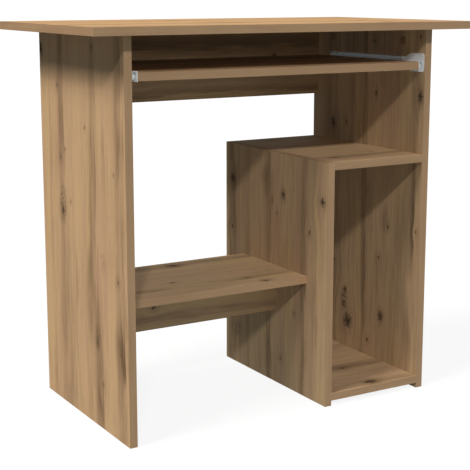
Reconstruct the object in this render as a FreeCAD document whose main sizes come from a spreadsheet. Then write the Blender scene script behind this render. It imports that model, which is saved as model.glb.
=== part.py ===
import FreeCAD, Part

import math
import os
from types import SimpleNamespace

import Sketcher
from FreeCAD import Placement, Rotation, Vector

# Computer desk with a sliding keyboard tray, in millimetres.
# +X is the user's right, -Y is the front, +Z is up.  The origin is on the floor,
# under the middle of the desktop.

DIMENSIONS = (
    ("desk_width", 800, "desktop, left to right"),
    ("desk_depth", 450, "desktop, front to back"),
    ("desk_height", 740, "floor to the top of the desktop"),
    ("board", 15, "thickness of every board"),
    ("edging", 1, "thickness of the edge strips"),
    ("side_overhang", 70, "desktop past the outer face of a side panel"),
    ("end_overhang", 35, "desktop past the panels at the front and at the back"),
    ("compartment_width", 211, "clear width of the computer compartment"),
    ("pedestal_height", 480, "floor to the top of the compartment"),
    ("toe_gap", 10, "floor to the underside of the bottom shelf"),
    ("foot_shelf_depth", 240, "foot shelf, front to back"),
    ("foot_shelf_top", 248, "floor to the top of the foot shelf"),
    ("foot_shelf_setback", 68, "front of the panels to the front of the foot shelf"),
    ("stretcher_height", 80, "upright board under the foot shelf"),
    ("rail_height", 150, "upright board under the back of the desktop"),
    ("tray_depth", 330, "keyboard tray, front to back"),
    ("tray_setback", 4, "front of the panels to the front of the tray"),
    ("tray_gap", 12.5, "tray end to the side panel, which the runners fill"),
    ("keyboard_space", 63, "top of the tray to the underside of the desktop"),
    ("tray_travel", 225, "how far the tray comes out"),
    ("metal", 1.2, "thickness of the runners' steel"),
    ("runner_length", 300, "length of the channel on the side panel"),
    ("runner_setback", 3, "front of the panels to the front of the channel"),
    ("channel_height", 20, "channel, outside"),
    ("channel_width", 10.5, "channel, out from the side panel"),
    ("channel_lift", 3, "underside of the tray to the underside of the channel"),
    ("bracket_length", 37, "deep part of the channel's front end"),
    ("bracket_ramp", 18, "length in which the front end deepens"),
    ("bracket_drop", 8, "front end below the channel"),
    ("bracket_rise", 7.5, "front end above the channel"),
    ("bracket_lip", 2.5, "width of the front end's folded edges"),
    ("bracket_corner", 3, "cut corners of the front end"),
    ("member_height", 18.2, "tray member, bottom flange to top flange"),
    ("member_flange", 12, "width of the flange under the tray"),
    ("member_setback", 15, "front of the tray to the front of the flange under it"),
    ("member_shelf", 9.2, "width of the flange that the front roller carries"),
    ("member_lip", 2.4, "folded edge of that flange"),
    ("member_rear_gap", 1, "channel's rear end to the tray member's rear end"),
    ("ear_rise", 3, "tray member's web above its flange, at the rear roller"),
    ("ear_length", 19, "length of that raised web"),
    ("flange_clear", 12, "rear roller's axis to the end of the tray member's flange"),
    ("front_roller", 15.4, "diameter of the roller on the channel"),
    ("front_roller_width", 6, "width of the roller on the channel"),
    ("front_roller_inset", 14, "channel's front end to the front roller's axis"),
    ("front_roller_drop", 5.2, "channel's middle to the front roller's axis"),
    ("rear_roller", 17, "diameter of the roller on the tray member"),
    ("rear_roller_width", 7, "width of the roller on the tray member"),
    ("rear_roller_inset", 10, "channel's rear end to the rear roller's axis"),
    ("roller_gap", 0.3, "rolling faces and stops to the steel"),
    ("bore_gap", 0.05, "radial running clearance of a roller on its axle"),
    ("side_play", 0.1, "roller to the shoulders of its axle"),
    ("roller_rim", 1.5, "thickness of a roller's rim"),
    ("roller_hub", 4, "radius of a roller's hub"),
    ("roller_recess", 1.2, "depth of the recess in a roller's side"),
    ("roller_chamfer", 0.6, "chamfer of a roller's rim"),
    ("front_shoulder", 2.6, "channel's web to the front roller"),
    ("rear_shoulder", 1, "tray member's web to the rear roller"),
    ("axle", 4, "diameter of a roller's axle"),
    ("axle_head", 7, "diameter of an axle's head and shoulder"),
    ("axle_head_length", 0.7, "thickness of an axle's head"),
    ("stop_drop", 4, "depth of the lug that stops the tray"),
    ("rear_stop_drop", 13, "depth of the lug behind the rear roller"),
    ("fit_gap", 0.05, "radial clearance of a fastener in its hole"),
    ("dowel", 8, "diameter of a wooden dowel"),
    ("dowel_in_edge", 20, "dowel in the edge of a board"),
    ("dowel_in_face", 10, "dowel in the face of a board"),
    ("hole_spare", 1, "hole past the end of a dowel or a screw"),
    ("chamfer", 0.8, "chamfer of dowels, bolts, cams and rivet heads"),
    ("bolt_thread", 7, "diameter of a cam bolt's thread"),
    ("bolt_thread_length", 9, "cam bolt in the face of a board"),
    ("bolt_shank", 5, "diameter of a cam bolt's shank"),
    ("bolt_neck", 3.6, "diameter of a cam bolt's neck"),
    ("bolt_head", 6.4, "diameter of a cam bolt's head"),
    ("bolt_collar", 1, "height of the collar that stops a cam bolt"),
    ("bolt_neck_length", 4.5, "cam bolt's neck, up to the axis of the cam lock"),
    ("bolt_tip", 2, "cam bolt past the axis of the cam lock"),
    ("bolt_bore", 8, "bore for a cam bolt in the edge of a board"),
    ("cam_distance", 24, "joint to the axis of the cam lock"),
    ("cam", 15, "diameter of a cam lock"),
    ("cam_depth", 12, "height of a cam lock"),
    ("mouth_gap", 0.5, "cam lock's mouth to the bolt's head"),
    ("lock_recess", 2.2, "depth of the cross recess in a cam lock"),
    ("cap", 17, "diameter of a cover cap"),
    ("cap_thickness", 0.8, "thickness of a cover cap"),
    ("screw_length", 13, "runner screw, head included"),
    ("screw_head", 6.8, "diameter of a runner screw's head"),
    ("screw_shank", 3.4, "diameter of a runner screw's thread"),
    ("screw_point", 2.2, "length of a runner screw's point"),
    ("screw_recess", 1.2, "depth of the cross recess in a runner screw"),
)

# Runner screws, from the front end of the channel and of the tray member.
CHANNEL_SCREWS = (34, 162, 258)
MEMBER_SCREWS = (36, 166, 256)

THREAD_ROOT = 0.7     # root of a thread over its crest
RECESS_REACH = 0.3    # half a cross recess over the head's diameter
RECESS_WIDTH = 0.22   # width of a cross recess's slots over their length

X_AXIS = Vector(1, 0, 0)
Y_AXIS = Vector(0, 1, 0)
Z_AXIS = Vector(0, 0, 1)

doc = FreeCAD.newDocument("computer_desk")
subparts = {}
drillings = {}


# ---- driving dimensions -----------------------------------------------------------------

class Size:
    """A length that carries its value and the spreadsheet formula that it comes from."""

    def __init__(self, value, formula):
        self.value = float(value)
        self.formula = formula

    def __add__(self, other):
        other = as_size(other)
        return Size(self.value + other.value, f"({self.formula} + {other.formula})")

    def __sub__(self, other):
        other = as_size(other)
        return Size(self.value - other.value, f"({self.formula} - {other.formula})")

    def __mul__(self, factor):
        return Size(self.value * factor, f"({self.formula} * {factor})")

    def __truediv__(self, divisor):
        return Size(self.value / divisor, f"({self.formula} / {divisor})")

    def __neg__(self):
        return self * -1


def as_size(number):
    """A Size stays as it is, and a plain number becomes one."""
    if isinstance(number, Size):
        return number
    return Size(number, f"({float(number)})")


def fill_sheet():
    """Write the driving dimensions into the spreadsheet and return them as Sizes."""
    sheet = doc.addObject("Spreadsheet::Sheet", "sizes")
    dimensions = SimpleNamespace()
    for row, (alias, value, meaning) in enumerate(DIMENSIONS, start=1):
        sheet.set(f"A{row}", meaning)
        sheet.set(f"B{row}", str(value))
        sheet.setAlias(f"B{row}", alias)
        setattr(dimensions, alias, Size(value, f"sizes.{alias}"))
    doc.recompute()
    return dimensions


dim = fill_sheet()

# Planes of the desk that several boards share.
panel_front = dim.end_overhang - dim.desk_depth / 2
panel_back = -panel_front
panel_top = dim.desk_height - dim.board
right_outer = dim.desk_width / 2 - dim.side_overhang
right_inner = right_outer - dim.board
left_outer = -right_outer
left_inner = -right_inner
divider_right = right_inner - dim.compartment_width
divider_left = divider_right - dim.board
foot_shelf_front = panel_front + dim.foot_shelf_setback
foot_shelf_middle = foot_shelf_front + dim.foot_shelf_depth / 2
foot_shelf_bottom = dim.foot_shelf_top - dim.board
rail_bottom = panel_top - dim.rail_height
tray_front = panel_front + dim.tray_setback
tray_top = panel_top - dim.keyboard_space
tray_bottom = tray_top - dim.board
tray_end = right_inner - dim.tray_gap

# Planes of the right-hand runner.
channel_front = panel_front + dim.runner_setback
channel_back = channel_front + dim.runner_length
channel_bottom = tray_bottom + dim.channel_lift
channel_top = channel_bottom + dim.channel_height
channel_middle = channel_bottom + dim.channel_height / 2
channel_tip = right_inner - dim.channel_width
channel_web = right_inner - dim.metal
member_bottom = tray_bottom - dim.metal
member_top = member_bottom + dim.member_height
member_web = tray_end + dim.metal
member_back = channel_back - dim.member_rear_gap
front_axis = (channel_front + dim.front_roller_inset, channel_middle - dim.front_roller_drop)
rear_axis = (channel_back - dim.rear_roller_inset, channel_middle)


# ---- drawing helpers --------------------------------------------------------------------

def bind(obj, path, size):
    """Tie one property of an object to its spreadsheet formula."""
    obj.setExpression(path, as_size(size).formula)


def move_to(obj, point):
    """Tie an object's position to three Sizes."""
    for letter, size in zip("xyz", point):
        bind(obj, f"Placement.Base.{letter}", size)


def shifted(point, direction, distance):
    """The point moved along an axis direction by a Size."""
    moved = []
    for start, component in zip(point, direction):
        moved.append(as_size(start) + as_size(distance) * component)
    return tuple(moved)


def vector_of(point):
    return Vector(*(as_size(size).value for size in point))


def origin_plane(body, role):
    for feature in body.Origin.OriginFeatures:
        if feature.Role == role:
            return feature
    raise ValueError(role)


def add_sketch(body, role, name):
    sketch = body.newObject("Sketcher::SketchObject", name)
    sketch.AttachmentSupport = (origin_plane(body, role), [""])
    sketch.MapMode = "FlatFace"
    return sketch


def pin_vertex(sketch, edge, across, up):
    """Fix the start of an edge by its two distances from the sketch's origin."""
    for kind, size, axis in (("DistanceX", across, -2), ("DistanceY", up, -1)):
        if abs(size.value) < 1e-9:
            sketch.addConstraint(Sketcher.Constraint("PointOnObject", edge, 1, axis))
            continue
        index = sketch.addConstraint(Sketcher.Constraint(kind, -1, 1, edge, 1, size.value))
        bind(sketch, f"Constraints[{index}]", size)


def draw_outline(sketch, points):
    """A closed outline of straight edges with every corner tied to the spreadsheet."""
    corners = [(as_size(across), as_size(up)) for across, up in points]
    places = [Vector(across.value, up.value, 0) for across, up in corners]
    first = sketch.GeometryCount
    count = len(places)
    for number, place in enumerate(places):
        sketch.addGeometry(Part.LineSegment(place, places[(number + 1) % count]), False)
    for number in range(count):
        following = first + (number + 1) % count
        sketch.addConstraint(Sketcher.Constraint("Coincident", first + number, 2, following, 1))
    for number, (across, up) in enumerate(corners):
        pin_vertex(sketch, first + number, across, up)


def add_pad(body, sketch, length, name):
    pad = body.newObject("PartDesign::Pad", name)
    pad.Profile = sketch
    bind(pad, "Length", length)
    sketch.Visibility = False
    return pad


def keep(name, obj):
    """Register an object as a finished sub-part under its own label."""
    obj.Label = name
    subparts[name] = obj
    return obj


def fuse(name, tools):
    union = doc.addObject("Part::MultiFuse", name)
    union.Shapes = tools
    return union


def cut(name, base, tools):
    """The base with the union of the tools removed."""
    remainder = doc.addObject("Part::Cut", name)
    remainder.Base = base
    remainder.Tool = fuse(name + "_tools", tools) if len(tools) > 1 else tools[0]
    return remainder


def block(name, low, high):
    """A Part box between two corners."""
    box = doc.addObject("Part::Box", name)
    for path, start, end in zip(("Length", "Width", "Height"), low, high):
        bind(box, path, as_size(end) - start)
    move_to(box, low)
    return box


def cylinder(name, start, direction, diameter, depth):
    rod = doc.addObject("Part::Cylinder", name)
    bind(rod, "Radius", diameter / 2)
    bind(rod, "Height", depth)
    rod.Placement = Placement(Vector(), Rotation(Z_AXIS, direction))
    move_to(rod, start)
    return rod


def cone(name, start, direction, start_diameter, depth):
    """A 90 degree countersink: it narrows by its depth on each side."""
    sink = doc.addObject("Part::Cone", name)
    bind(sink, "Radius1", start_diameter / 2)
    bind(sink, "Radius2", start_diameter / 2 - depth)
    bind(sink, "Height", depth)
    sink.Placement = Placement(Vector(), Rotation(Z_AXIS, direction))
    move_to(sink, start)
    return sink


def turned(name, profile):
    """A body turned about its own Z axis from (radius, height) corners."""
    body = doc.addObject("PartDesign::Body", name)
    sketch = add_sketch(body, "XZ_Plane", name + "_profile")
    draw_outline(sketch, profile)
    revolution = body.newObject("PartDesign::Revolution", name + "_turned")
    revolution.Profile = sketch
    revolution.ReferenceAxis = (sketch, ["V_Axis"])
    revolution.Angle = 360
    sketch.Visibility = False
    return body


# ---- boards and their edge strips -------------------------------------------------------

def board_blank(name, low, high):
    """A rectangular board before drilling: its plan is sketched and padded upwards."""
    body = doc.addObject("PartDesign::Body", name + "_blank")
    sketch = add_sketch(body, "XY_Plane", name + "_plan")
    width = as_size(high[0]) - low[0]
    depth = as_size(high[1]) - low[1]
    draw_outline(sketch, ((0, 0), (width, 0), (width, depth), (0, depth)))
    add_pad(body, sketch, as_size(high[2]) - low[2], name + "_pad")
    move_to(body, low)
    return body


def trim_side(low, high, axis, sign):
    """Take one edge strip off a box: returns the strip's corners and what is left."""
    low, high = list(low), list(high)
    strip_low, strip_high = list(low), list(high)
    if sign < 0:
        strip_high[axis] = as_size(low[axis]) + dim.edging
        low[axis] = strip_high[axis]
    else:
        strip_low[axis] = as_size(high[axis]) - dim.edging
        high[axis] = strip_low[axis]
    return (strip_low, strip_high), low, high


def add_board(name, low, high, edged):
    """A board and the strips glued on its edged sides, given as (axis, sign) pairs."""
    strips = []
    for axis, sign in edged:
        corners, low, high = trim_side(low, high, axis, sign)
        strips.append(block(name + "_strip", *corners))
    group = doc.addObject("Part::Compound", name + "_strips")
    group.Links = strips
    keep(name + "_edging", group)
    drillings[name] = []
    return name, board_blank(name, low, high)


LEFT, RIGHT = (0, -1), (0, 1)
FRONT, BACK = (1, -1), (1, 1)
UNDER, OVER = (2, -1), (2, 1)

BOARDS = (
    ("desktop",
     (-dim.desk_width / 2, -dim.desk_depth / 2, panel_top),
     (dim.desk_width / 2, dim.desk_depth / 2, dim.desk_height),
     (FRONT, BACK, LEFT, RIGHT)),
    ("left_side_panel",
     (left_outer, panel_front, 0), (left_inner, panel_back, panel_top), (FRONT, BACK)),
    ("right_side_panel",
     (right_inner, panel_front, 0), (right_outer, panel_back, panel_top), (FRONT, BACK)),
    ("pedestal_side_panel",
     (divider_left, panel_front, 0), (divider_right, panel_back, dim.pedestal_height),
     (FRONT, BACK, OVER)),
    ("pedestal_top_shelf",
     (divider_right, panel_front, dim.pedestal_height - dim.board),
     (right_inner, panel_back, dim.pedestal_height), (FRONT, BACK)),
    ("pedestal_bottom_shelf",
     (divider_right, panel_front, dim.toe_gap),
     (right_inner, panel_back, dim.toe_gap + dim.board), (FRONT, BACK)),
    ("foot_shelf",
     (left_inner, foot_shelf_front, foot_shelf_bottom),
     (divider_left, foot_shelf_front + dim.foot_shelf_depth, dim.foot_shelf_top),
     (FRONT, BACK)),
    ("foot_shelf_stretcher",
     (left_inner, foot_shelf_middle - dim.board / 2, foot_shelf_bottom - dim.stretcher_height),
     (divider_left, foot_shelf_middle + dim.board / 2, foot_shelf_bottom), (UNDER,)),
    ("back_rail",
     (left_inner, panel_back - dim.board, rail_bottom), (right_inner, panel_back, panel_top),
     (UNDER,)),
    ("keyboard_tray",
     (-tray_end, tray_front, tray_bottom), (tray_end, tray_front + dim.tray_depth, tray_top),
     (FRONT, BACK, LEFT, RIGHT)),
)


# ---- holes ------------------------------------------------------------------------------

def drill(board, start, direction, diameter, depth):
    """Sink a round hole into a board or a runner."""
    hole = cylinder(board + "_hole", start, direction, diameter + dim.fit_gap * 2, depth)
    drillings[board].append(hole)


def countersink(target, surface, direction):
    """Sink the hole and the cone of a flush screw whose head starts at a surface point."""
    head = dim.screw_head + dim.fit_gap * 4
    drill(target, surface, direction, dim.screw_shank, dim.screw_length + dim.hole_spare)
    sink = cone(target + "_sink", surface, direction, head, head / 2 - dim.fit_gap)
    drillings[target].append(sink)


def finish_drilled(name, blank):
    """Cut a board's or a runner's holes, and keep it as a sub-part."""
    if drillings[name]:
        keep(name, cut(name + "_drilled", blank, drillings[name]))
    else:
        keep(name, blank)


# ---- joints between boards --------------------------------------------------------------

# Each joint butts the edge of one board on the face of another.  It has a middle point, at
# half the edge board's thickness, the direction in which its fasteners are spread, the
# direction from the face board into the edge board, and the side where its cams show.

def board_joint(group, face, edge, middle, spread, into, cam_side, bolts, dowels):
    return SimpleNamespace(group=group, face=face, edge=edge, middle=middle, spread=spread,
                           into=into, cam_side=cam_side, bolts=bolts, dowels=dowels)


def desktop_joints():
    centre = right_inner + dim.board / 2
    for side, panel in ((-1, "left_side_panel"), (1, "right_side_panel")):
        yield board_joint("desktop", "desktop", panel, (centre * side, 0, panel_top),
                          Y_AXIS, -Z_AXIS, X_AXIS * -side, bolts=(-120, 120), dowels=(-160, 160))


def rail_joints():
    height = panel_top - dim.rail_height / 2
    depth = panel_back - dim.board / 2
    for side, panel in ((-1, "left_side_panel"), (1, "right_side_panel")):
        yield board_joint("back_rail", panel, "back_rail", (right_inner * side, depth, height),
                          Z_AXIS, X_AXIS * -side, Y_AXIS, bolts=(-45, 45), dowels=(0,))
    yield board_joint("back_rail", "desktop", "back_rail", (0, depth, panel_top),
                      X_AXIS, -Z_AXIS, Y_AXIS, bolts=(), dowels=(-150, 150))


def foot_shelf_joints():
    height = dim.foot_shelf_top - dim.board / 2
    for place, into, panel in ((left_inner, X_AXIS, "left_side_panel"),
                               (divider_left, -X_AXIS, "pedestal_side_panel")):
        yield board_joint("foot_shelf", panel, "foot_shelf", (place, foot_shelf_middle, height),
                          Y_AXIS, into, -Z_AXIS, bolts=(-85, 85), dowels=(-50, 50))


def stretcher_joints():
    height = foot_shelf_bottom - dim.stretcher_height / 2
    name = "foot_shelf_stretcher"
    for place, into, panel in ((left_inner, X_AXIS, "left_side_panel"),
                               (divider_left, -X_AXIS, "pedestal_side_panel")):
        yield board_joint("stretcher", panel, name, (place, foot_shelf_middle, height),
                          Z_AXIS, into, Y_AXIS, bolts=(-16,), dowels=(16,))
    middle = (left_inner + divider_left) / 2
    yield board_joint("stretcher", "foot_shelf", name,
                      (middle, foot_shelf_middle, foot_shelf_bottom),
                      X_AXIS, -Z_AXIS, Y_AXIS, bolts=(), dowels=(-120, 120))


def pedestal_joints():
    for shelf, top in (("pedestal_top_shelf", dim.pedestal_height),
                       ("pedestal_bottom_shelf", dim.toe_gap + dim.board)):
        height = top - dim.board / 2
        for place, into, panel in ((divider_right, X_AXIS, "pedestal_side_panel"),
                                   (right_inner, -X_AXIS, "right_side_panel")):
            yield board_joint(shelf, panel, shelf, (place, 0, height),
                              Y_AXIS, into, -Z_AXIS, bolts=(-130, 130), dowels=(-90, 90))


def all_joints():
    for family in (desktop_joints, rail_joints, foot_shelf_joints, stretcher_joints,
                   pedestal_joints):
        yield from family()


def drill_joint(joint):
    """Drill both boards of a joint for its cam bolts, cam locks and dowels."""
    for offset in joint.bolts:
        point = shifted(joint.middle, joint.spread, offset)
        drill(joint.face, point, -joint.into, dim.bolt_thread, dim.bolt_thread_length)
        drill(joint.edge, point, joint.into, dim.bolt_bore, dim.cam_distance)
        lock = cam_face(joint, point)
        drill(joint.edge, lock, -joint.cam_side, dim.cam, dim.cam_depth)
    for offset in joint.dowels:
        point = shifted(joint.middle, joint.spread, offset)
        drill(joint.face, point, -joint.into, dim.dowel, dim.dowel_in_face + dim.hole_spare)
        drill(joint.edge, point, joint.into, dim.dowel, dim.dowel_in_edge + dim.hole_spare)


def cam_face(joint, point):
    """Where the axis of a cam lock meets the board's face."""
    axis = shifted(point, joint.into, dim.cam_distance)
    return shifted(axis, joint.cam_side, dim.board / 2)


# ---- fasteners --------------------------------------------------------------------------

def dowel_pattern():
    """A beech dowel with chamfered ends; z = 0 is at the joint."""
    radius = dim.dowel / 2
    slim = radius - dim.chamfer
    low, high = -dim.dowel_in_face, dim.dowel_in_edge
    return turned("dowel_pattern", ((0, low), (slim, low), (radius, low + dim.chamfer),
                                    (radius, high - dim.chamfer), (slim, high), (0, high)))


def ridges(start, end, root, crest, count):
    """Corners of a ringed thread from one height to another."""
    step = (end - start) / count
    corners = []
    for turn in range(count):
        foot = start + step * turn
        corners.append((root, foot))
        corners.append((crest, foot + step / 2))
    corners.append((root, end))
    return corners


def cam_bolt_pattern():
    """A cam bolt: thread below z = 0, shank and head above, the head in the cam lock."""
    crest, shank = dim.bolt_thread / 2, dim.bolt_shank / 2
    neck, head = dim.bolt_neck / 2, dim.bolt_head / 2
    point = -dim.bolt_thread_length
    collar = dim.bolt_collar
    shoulder = dim.cam_distance - dim.bolt_neck_length
    tip = dim.cam_distance + dim.bolt_tip
    thread = ridges(point + dim.chamfer, -dim.chamfer, shank, crest, 5)
    profile = [(0, point), (shank - dim.chamfer, point)] + thread
    profile += [(crest, 0), (crest, collar), (shank, collar + dim.chamfer),
                (shank, shoulder - dim.chamfer), (neck, shoulder),
                (neck, dim.cam_distance - dim.bolt_tip), (head, dim.cam_distance - dim.chamfer),
                (head, dim.cam_distance + dim.chamfer), (neck, tip), (0, tip)]
    return turned("cam_bolt_pattern", profile)


def cam_lock_pattern():
    """A cam lock: its face is at z = 0, and its mouth takes the bolt's head from +X."""
    radius, chamfer = dim.cam / 2, dim.chamfer
    body = turned("cam_lock_body", ((0, -dim.cam_depth), (radius - chamfer, -dim.cam_depth),
                                    (radius, chamfer - dim.cam_depth), (radius, -chamfer / 2),
                                    (radius - chamfer / 2, 0), (0, 0)))
    half_mouth = dim.bolt_head / 2 + dim.mouth_gap
    level = -dim.board / 2
    mouth = block("cam_lock_mouth", (-dim.bolt_tip - dim.mouth_gap, -half_mouth, level - half_mouth),
                  (radius + dim.mouth_gap, half_mouth, level + half_mouth))
    slots = cross_recess("cam_lock", dim.cam, dim.lock_recess)
    return cut("cam_lock_pattern", body, [mouth] + slots)


def cross_recess(name, diameter, depth):
    """Two crossed slots in a head whose face is at z = 0."""
    long_half = diameter * RECESS_REACH
    short_half = long_half * RECESS_WIDTH
    slots = []
    for across, along in ((long_half, short_half), (short_half, long_half)):
        slots.append(block(name + "_slot", (-across, -along, -depth), (across, along, depth)))
    return slots


def screw_pattern():
    """A countersunk runner screw: its head's face is at z = 0, its point below."""
    head, crest = dim.screw_head / 2, dim.screw_shank / 2
    root = crest * THREAD_ROOT
    neck = crest - head
    tip = -dim.screw_length
    thread = ridges(neck - dim.chamfer, tip + dim.screw_point, root, crest, 8)
    profile = [(0, 0), (head, 0), (crest, neck), (root, neck - dim.chamfer / 2)] + thread
    profile += [(root / 2, tip + dim.chamfer), (0, tip)]
    body = turned("screw_body", profile)
    return cut("screw_pattern", body, cross_recess("screw", dim.screw_head, dim.screw_recess))


def cap_pattern():
    """A cover cap that hides a cam lock: flat, with a chamfered rim, standing on z = 0."""
    radius, top = dim.cap / 2, dim.cap_thickness
    return turned("cap_pattern", ((0, 0), (radius, 0), (radius, top / 2),
                                  (radius - dim.chamfer / 2, top), (0, top)))


def facing(x_direction, z_direction):
    """The turn that lays an object's X and Z axes along two directions."""
    y_direction = z_direction.cross(x_direction)
    return Rotation(x_direction, y_direction, z_direction, "ZXY")


def add_group(name, pattern, places):
    """Copies of one fastener as separate solids in one sub-part."""
    group = doc.addObject("Part::Feature", name + "_group")
    solids = []
    for place in places:
        copy = pattern.Shape.copy()
        copy.transformShape(place.toMatrix())
        solids.extend(copy.Solids)
    group.Shape = Part.makeCompound(solids)
    keep(name, group)


def add_joint_fasteners():
    """Cam bolts, cam locks and dowels, one sub-part of each kind for each joined board."""
    patterns = SimpleNamespace(bolt=cam_bolt_pattern(), lock=cam_lock_pattern(),
                               dowel=dowel_pattern(), cap=cap_pattern())
    doc.recompute()
    groups, caps = {}, []
    for joint in all_joints():
        bolts, locks, dowels = groups.setdefault(joint.group, ([], [], []))
        along = facing(joint.cam_side, joint.into)
        for offset in joint.bolts:
            point = shifted(joint.middle, joint.spread, offset)
            face = vector_of(cam_face(joint, point))
            turn = facing(-joint.into, joint.cam_side)
            bolts.append(Placement(vector_of(point), along))
            locks.append(Placement(face, turn))
            if joint.group == "desktop":
                caps.append(Placement(face, turn))
        for offset in joint.dowels:
            point = shifted(joint.middle, joint.spread, offset)
            dowels.append(Placement(vector_of(point), along))
    for group, (bolts, locks, dowels) in groups.items():
        add_group(group + "_cam_bolts", patterns.bolt, bolts)
        add_group(group + "_cam_locks", patterns.lock, locks)
        add_group(group + "_dowels", patterns.dowel, dowels)
    add_group("cam_cover_caps", patterns.cap, caps)


# ---- tray runners -----------------------------------------------------------------------

def channel_outline():
    """Side view of the channel: it deepens into a bracket at its front end."""
    ramp_start = channel_front + dim.bracket_length
    ramp_end = ramp_start + dim.bracket_ramp
    low, high = channel_bottom - dim.bracket_drop, channel_top + dim.bracket_rise
    corner = channel_front + dim.bracket_corner
    return ((channel_back, channel_bottom), (channel_back, channel_top),
            (ramp_end, channel_top), (ramp_start, high), (corner, high),
            (channel_front, high - dim.bracket_corner),
            (channel_front, low + dim.bracket_corner), (corner, low), (ramp_start, low),
            (ramp_end, channel_bottom))


def strip_outlines(outline):
    """Side views of the four folded edges: two full flanges, then the bracket's two lips."""
    back_low, back_high, neck_high, ramp_high, nose_high = outline[:5]
    nose_low, ramp_low, neck_low = outline[7:]
    metal = dim.metal
    flanges, lips = [], []
    for back, neck, ramp, nose, inward in ((back_high, neck_high, ramp_high, nose_high, -metal),
                                           (back_low, neck_low, ramp_low, nose_low, metal)):
        flanges.append((back, neck, (neck[0], neck[1] + inward), (back[0], back[1] + inward)))
        lips.append((neck, ramp, nose, (nose[0], nose[1] + inward),
                     (ramp[0], ramp[1] + inward), (neck[0], neck[1] + inward)))
    return flanges, lips


def stop_lead():
    """How far before its axis the rear roller meets the lower edge of the front stop."""
    radius = dim.rear_roller.value / 2
    rise = radius - dim.stop_drop.value + dim.roller_gap.value
    return math.sqrt(radius ** 2 - rise ** 2)


def cabinet_runner():
    """Right-hand channel: web on the panel, flanges towards the tray, stops at both ends."""
    body = doc.addObject("PartDesign::Body", "cabinet_runner_blank")
    outline = channel_outline()
    flanges, lips = strip_outlines(outline)
    for name, outlines, width in (("web", [outline], dim.metal),
                                  ("flanges", flanges, dim.channel_width),
                                  ("lips", lips, dim.bracket_lip)):
        for number, points in enumerate(outlines):
            sketch = add_sketch(body, "YZ_Plane", f"channel_{name}_{number}")
            draw_outline(sketch, points)
            pad = add_pad(body, sketch, width, f"channel_{name}_{number}_pad")
            pad.Reversed = True
    move_to(body, (right_inner, 0, 0))
    high = channel_top - dim.metal
    stop = rear_axis[0] - dim.tray_travel - stop_lead() - dim.roller_gap
    front_stop = block("channel_front_stop", (channel_tip, stop - dim.metal, high - dim.stop_drop),
                       (channel_web - dim.bracket_lip, stop, high + dim.metal / 2))
    rear_stop = block("channel_rear_stop",
                      (channel_tip, channel_back - dim.metal, high - dim.rear_stop_drop),
                      (channel_web + dim.metal / 2, channel_back, high + dim.metal / 2))
    return fuse("cabinet_runner_folded", [body, front_stop, rear_stop])


def tray_runner():
    """Right-hand tray member: flange under the tray, web, and the flange that rolls."""
    body = doc.addObject("PartDesign::Body", "tray_runner_blank")
    ear_top = member_top + dim.ear_rise
    ear_front = member_back - dim.ear_length
    flange_end = rear_axis[0] - dim.flange_clear
    web = ((tray_front, member_bottom), (member_back, member_bottom), (member_back, member_top),
           (member_back - dim.ear_rise, ear_top), (ear_front + dim.ear_rise, ear_top),
           (ear_front, member_top), (tray_front, member_top))
    sketch = add_sketch(body, "YZ_Plane", "member_web")
    draw_outline(sketch, web)
    add_pad(body, sketch, dim.metal, "member_web_pad")
    move_to(body, (tray_end, 0, 0))
    shelf_tip = member_web + dim.member_shelf
    under = block("member_under_flange",
                  (tray_end - dim.member_flange, tray_front + dim.member_setback, member_bottom),
                  (member_web, member_back, tray_bottom))
    shelf = block("member_rolling_flange", (tray_end, tray_front, member_top - dim.metal),
                  (shelf_tip, flange_end, member_top))
    lip = block("member_lip", (shelf_tip - dim.metal, tray_front,
                               member_top - dim.metal - dim.member_lip),
                (shelf_tip, flange_end, member_top))
    return fuse("tray_runner_folded", [body, under, shelf, lip])


def roller_body(name, diameter, width):
    """A nylon roller about Z with a chamfered rim and a recess in each side."""
    bore = dim.axle / 2 + dim.bore_gap
    hub, recess, chamfer = dim.roller_hub, dim.roller_recess, dim.roller_chamfer
    rim = diameter / 2
    inner = rim - dim.roller_rim
    return turned(name, ((bore, 0), (hub, 0), (hub, recess), (inner, recess), (inner, 0),
                         (rim - chamfer, 0), (rim, chamfer), (rim, width - chamfer),
                         (rim - chamfer, width), (inner, width), (inner, width - recess),
                         (hub, width - recess), (hub, width), (bore, width)))


def axle_body(name, tail, shoulder, roller_width):
    """A riveted axle about Z: tail in the steel, shoulder, journal and domed head."""
    journal, head = dim.axle / 2, dim.axle_head / 2
    seat = shoulder + roller_width + dim.side_play * 2
    crown = seat + dim.axle_head_length
    return turned(name, ((0, -tail), (journal, -tail), (journal, 0), (head, 0),
                         (head, shoulder), (journal, shoulder), (journal, seat), (head, seat),
                         (head, seat + dim.axle_head_length / 2), (head - dim.chamfer, crown),
                         (0, crown)))


def add_pair(name, right):
    """Keep a right-hand piece and its mirror image."""
    left = doc.addObject("Part::Mirroring", "left_" + name + "_mirror")
    left.Source = right
    left.Normal = X_AXIS
    keep("right_" + name, right)
    keep("left_" + name, left)


def add_rollers():
    """Front rollers turn on the channels, rear rollers on the tray members."""
    sides = (("front", channel_web, -X_AXIS, front_axis, dim.front_roller,
              dim.front_roller_width, dim.front_shoulder),
             ("rear", member_web, X_AXIS, rear_axis, dim.rear_roller,
              dim.rear_roller_width, dim.rear_shoulder))
    for end, steel, outward, (depth, height), diameter, width, shoulder in sides:
        seat = (steel, depth, height)
        turn = Placement(Vector(), Rotation(Z_AXIS, outward))
        axle = axle_body(end + "_axle", dim.metal, shoulder, width)
        axle.Placement = turn
        move_to(axle, seat)
        roller = roller_body(end + "_roller_body", diameter, width)
        roller.Placement = turn
        move_to(roller, shifted(seat, outward, shoulder + dim.side_play))
        add_pair(end + "_roller_axle", axle)
        add_pair(end + "_roller", roller)


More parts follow.
